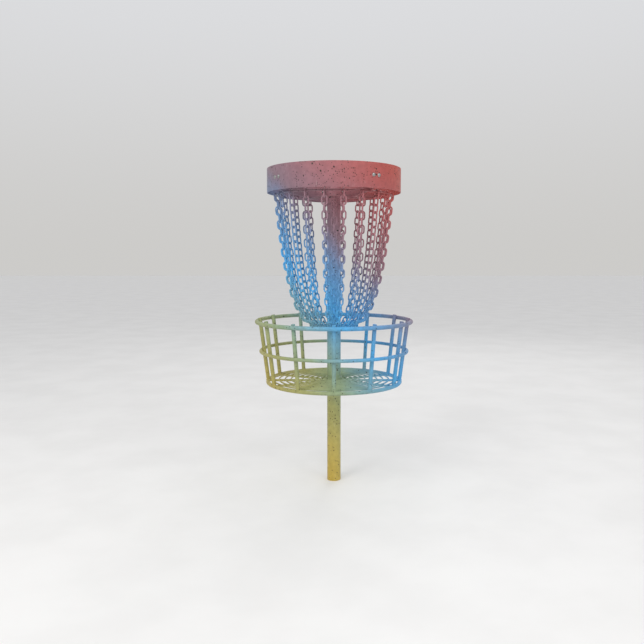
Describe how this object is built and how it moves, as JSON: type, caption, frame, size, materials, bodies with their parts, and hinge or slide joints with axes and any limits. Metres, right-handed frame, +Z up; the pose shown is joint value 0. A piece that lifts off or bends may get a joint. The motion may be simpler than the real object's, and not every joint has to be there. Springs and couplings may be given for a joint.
{
  "type": "disc golf basket",
  "caption": "Disc golf basket on a round pole: a deep top band, a curtain of hanging chains gathered by a centre ring, and an open wire cage that catches discs.",
  "frame": {"origin": "centre of the pole's lower end face", "axes": "+Z up along the pole, -Y towards the front, +X to the right seen from the front"},
  "size_m": [0.6599, 0.66, 1.306],
  "materials": {
    "pole_coat": "satin powder coat, khaki to mustard fade",
    "band_coat": "satin powder coat, mauve to coral fade",
    "cage_coat": "satin powder coat, olive to sky blue fade",
    "floor_coat": "satin powder coat, mustard to sky blue fade",
    "chain_blue": "satin coat on zinc-plated welded chain, sky blue",
    "chain_lilac": "satin coat on zinc-plated welded chain, lilac to sky blue fade",
    "chain_rose": "satin coat on zinc-plated welded chain, rose to lilac fade",
    "zinc": "zinc plated",
    "cap_plastic": "moulded, fine grain"
  },
  "bodies": {
    "frame": {"pole": "pole_coat", "pole_cap": "cap_plastic", "hanger_collar": "band_coat", "cage_collar": "cage_coat", "collar_bolts": "zinc", "collar_nuts": "zinc", "band": "band_coat", "band_seam_strap": "band_coat", "band_bolts": "zinc", "band_nuts": "zinc", "seam_rivets": "zinc", "outer_chain_ring": "band_coat", "inner_chain_ring": "band_coat", "floor_rim": "cage_coat", "top_rim": "cage_coat", "mid_ring": "cage_coat", "floor_rings": "floor_coat", "floor_spokes": "floor_coat", "hanger_arm_1": "band_coat", "hanger_arm_2": "band_coat", "hanger_arm_3": "band_coat", "hanger_arm_4": "band_coat", "rib_01": "cage_coat", "rib_02": "cage_coat", "rib_03": "cage_coat", "rib_04": "cage_coat", "rib_05": "cage_coat", "rib_06": "cage_coat", "rib_07": "cage_coat", "rib_08": "cage_coat", "rib_09": "cage_coat", "rib_10": "cage_coat", "rib_11": "cage_coat", "rib_12": "cage_coat"},
    "collector": {"collector_ring": "chain_blue"},
    "outer_chain_01": {"outer_chain_01": "chain_lilac"},
    "outer_chain_02": {"outer_chain_02": "chain_lilac"},
    "outer_chain_03": {"outer_chain_03": "chain_rose"},
    "outer_chain_04": {"outer_chain_04": "chain_rose"},
    "outer_chain_05": {"outer_chain_05": "chain_rose"},
    "outer_chain_06": {"outer_chain_06": "chain_rose"},
    "outer_chain_07": {"outer_chain_07": "chain_rose"},
    "outer_chain_08": {"outer_chain_08": "chain_rose"},
    "outer_chain_09": {"outer_chain_09": "chain_lilac"},
    "outer_chain_10": {"outer_chain_10": "chain_lilac"},
    "outer_chain_11": {"outer_chain_11": "chain_lilac"},
    "outer_chain_12": {"outer_chain_12": "chain_blue"},
    "outer_chain_13": {"outer_chain_13": "chain_blue"},
    "outer_chain_14": {"outer_chain_14": "chain_blue"},
    "outer_chain_15": {"outer_chain_15": "chain_blue"},
    "outer_chain_16": {"outer_chain_16": "chain_blue"},
    "outer_chain_17": {"outer_chain_17": "chain_blue"},
    "outer_chain_18": {"outer_chain_18": "chain_blue"},
    "outer_chain_19": {"outer_chain_19": "chain_blue"},
    "outer_chain_20": {"outer_chain_20": "chain_lilac"},
    "inner_chain_1": {"inner_chain_1": "chain_blue"},
    "inner_chain_2": {"inner_chain_2": "chain_blue"},
    "inner_chain_3": {"inner_chain_3": "chain_blue"},
    "inner_chain_4": {"inner_chain_4": "chain_blue"}
  },
  "joints": [
    {"name": "collector_turn", "type": "hinge", "parent": "frame", "child": "collector", "pos_m": [0, 0, 0.655], "axis": [0, 0, 1], "continuous": true},
    {"name": "outer_chain_01_swing", "type": "hinge", "parent": "frame", "child": "outer_chain_01", "pos_m": [0.03707, -0.23408, 1.2005], "axis": [-0.0445, 0.2812, -0.9586], "range_deg": [-10, 10]},
    {"name": "outer_chain_02_swing", "type": "hinge", "parent": "frame", "child": "outer_chain_02", "pos_m": [0.1076, -0.21117, 1.2005], "axis": [-0.1292, 0.2537, -0.9586], "range_deg": [-10, 10]},
    {"name": "outer_chain_03_swing", "type": "hinge", "parent": "frame", "child": "outer_chain_03", "pos_m": [0.16758, -0.16758, 1.2005], "axis": [-0.2013, 0.2013, -0.9586], "range_deg": [-10, 10]},
    {"name": "outer_chain_04_swing", "type": "hinge", "parent": "frame", "child": "outer_chain_04", "pos_m": [0.21117, -0.1076, 1.2005], "axis": [-0.2537, 0.1292, -0.9586], "range_deg": [-10, 10]},
    {"name": "outer_chain_05_swing", "type": "hinge", "parent": "frame", "child": "outer_chain_05", "pos_m": [0.23408, -0.03707, 1.2005], "axis": [-0.2812, 0.0445, -0.9586], "range_deg": [-10, 10]},
    {"name": "outer_chain_06_swing", "type": "hinge", "parent": "frame", "child": "outer_chain_06", "pos_m": [0.23408, 0.03707, 1.2005], "axis": [-0.2812, -0.0445, -0.9586], "range_deg": [-10, 10]},
    {"name": "outer_chain_07_swing", "type": "hinge", "parent": "frame", "child": "outer_chain_07", "pos_m": [0.21117, 0.1076, 1.2005], "axis": [-0.2537, -0.1292, -0.9586], "range_deg": [-10, 10]},
    {"name": "outer_chain_08_swing", "type": "hinge", "parent": "frame", "child": "outer_chain_08", "pos_m": [0.16758, 0.16758, 1.2005], "axis": [-0.2013, -0.2013, -0.9586], "range_deg": [-10, 10]},
    {"name": "outer_chain_09_swing", "type": "hinge", "parent": "frame", "child": "outer_chain_09", "pos_m": [0.1076, 0.21117, 1.2005], "axis": [-0.1292, -0.2537, -0.9586], "range_deg": [-10, 10]},
    {"name": "outer_chain_10_swing", "type": "hinge", "parent": "frame", "child": "outer_chain_10", "pos_m": [0.03707, 0.23408, 1.2005], "axis": [-0.0445, -0.2812, -0.9586], "range_deg": [-10, 10]},
    {"name": "outer_chain_11_swing", "type": "hinge", "parent": "frame", "child": "outer_chain_11", "pos_m": [-0.03707, 0.23408, 1.2005], "axis": [0.0445, -0.2812, -0.9586], "range_deg": [-10, 10]},
    {"name": "outer_chain_12_swing", "type": "hinge", "parent": "frame", "child": "outer_chain_12", "pos_m": [-0.1076, 0.21117, 1.2005], "axis": [0.1292, -0.2537, -0.9586], "range_deg": [-10, 10]},
    {"name": "outer_chain_13_swing", "type": "hinge", "parent": "frame", "child": "outer_chain_13", "pos_m": [-0.16758, 0.16758, 1.2005], "axis": [0.2013, -0.2013, -0.9586], "range_deg": [-10, 10]},
    {"name": "outer_chain_14_swing", "type": "hinge", "parent": "frame", "child": "outer_chain_14", "pos_m": [-0.21117, 0.1076, 1.2005], "axis": [0.2537, -0.1292, -0.9586], "range_deg": [-10, 10]},
    {"name": "outer_chain_15_swing", "type": "hinge", "parent": "frame", "child": "outer_chain_15", "pos_m": [-0.23408, 0.03707, 1.2005], "axis": [0.2812, -0.0445, -0.9586], "range_deg": [-10, 10]},
    {"name": "outer_chain_16_swing", "type": "hinge", "parent": "frame", "child": "outer_chain_16", "pos_m": [-0.23408, -0.03707, 1.2005], "axis": [0.2812, 0.0445, -0.9586], "range_deg": [-10, 10]},
    {"name": "outer_chain_17_swing", "type": "hinge", "parent": "frame", "child": "outer_chain_17", "pos_m": [-0.21117, -0.1076, 1.2005], "axis": [0.2537, 0.1292, -0.9586], "range_deg": [-10, 10]},
    {"name": "outer_chain_18_swing", "type": "hinge", "parent": "frame", "child": "outer_chain_18", "pos_m": [-0.16758, -0.16758, 1.2005], "axis": [0.2013, 0.2013, -0.9586], "range_deg": [-10, 10]},
    {"name": "outer_chain_19_swing", "type": "hinge", "parent": "frame", "child": "outer_chain_19", "pos_m": [-0.1076, -0.21117, 1.2005], "axis": [0.1292, 0.2537, -0.9586], "range_deg": [-10, 10]},
    {"name": "outer_chain_20_swing", "type": "hinge", "parent": "frame", "child": "outer_chain_20", "pos_m": [-0.03707, -0.23408, 1.2005], "axis": [0.0445, 0.2812, -0.9586], "range_deg": [-10, 10]},
    {"name": "inner_chain_1_swing", "type": "hinge", "parent": "frame", "child": "inner_chain_1", "pos_m": [0, -0.12, 1.184], "axis": [0, 0.0848, -0.9964], "range_deg": [-15, 15]},
    {"name": "inner_chain_2_swing", "type": "hinge", "parent": "frame", "child": "inner_chain_2", "pos_m": [0.12, 0, 1.184], "axis": [-0.0848, 0, -0.9964], "range_deg": [-15, 15]},
    {"name": "inner_chain_3_swing", "type": "hinge", "parent": "frame", "child": "inner_chain_3", "pos_m": [0, 0.12, 1.184], "axis": [0, -0.0848, -0.9964], "range_deg": [-15, 15]},
    {"name": "inner_chain_4_swing", "type": "hinge", "parent": "frame", "child": "inner_chain_4", "pos_m": [-0.12, 0, 1.184], "axis": [0.0848, 0, -0.9964], "range_deg": [-15, 15]}
  ]
}
